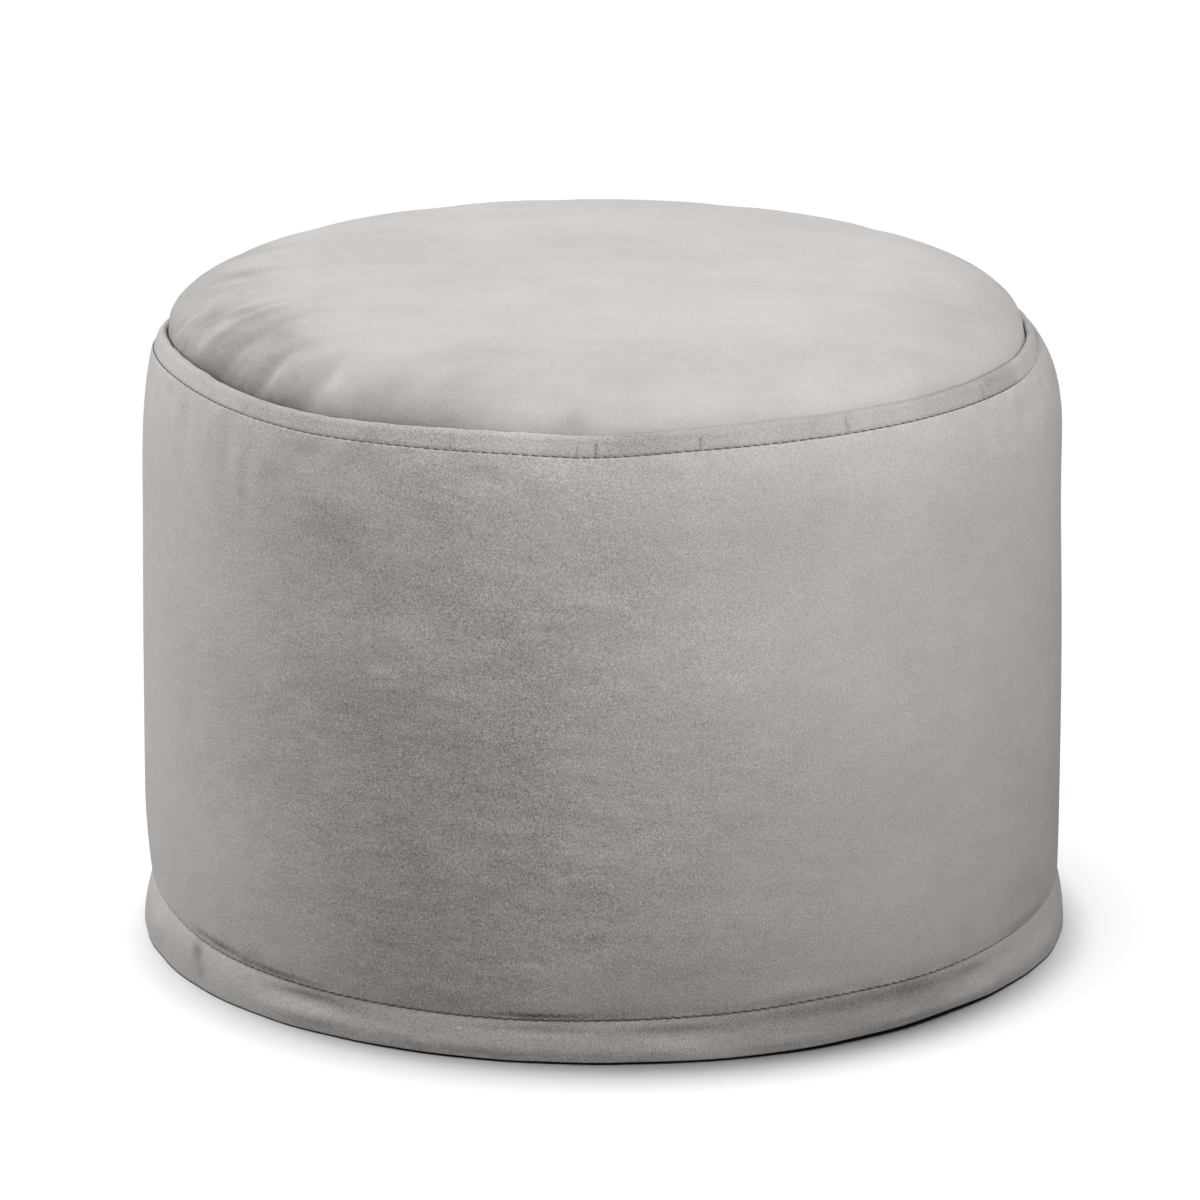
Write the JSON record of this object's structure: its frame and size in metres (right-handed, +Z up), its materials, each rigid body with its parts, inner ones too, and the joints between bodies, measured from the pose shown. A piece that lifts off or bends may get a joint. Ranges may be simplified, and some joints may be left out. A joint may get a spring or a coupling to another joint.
{
  "type": "bean bag footstool",
  "caption": "Round bean bag footstool: a filled velvet drum with a softly crowned top and a stitched seam flange standing round each rim.",
  "frame": {"origin": "on the floor under the middle of the drum", "axes": "+Z up, -Y towards the front that the picture shows, +X to the right as seen from the front"},
  "size_m": [0.4558, 0.4537, 0.3304],
  "materials": {
    "top_velvet": "short-pile velvet, light warm grey, pile brushed flat",
    "side_velvet": "short-pile velvet, warm grey with soft nap shading",
    "base_velvet": "short-pile velvet, warm grey",
    "top_flange_velvet": "short-pile velvet, folded and pressed flat by its topstitching",
    "bottom_flange_velvet": "short-pile velvet, folded and pressed flat by its topstitching"
  },
  "bodies": {
    "root": {"top_panel": "top_velvet", "side_panel": "side_velvet", "base_panel": "base_velvet", "top_flange": "top_flange_velvet", "bottom_flange": "bottom_flange_velvet"}
  },
  "joints": []
}
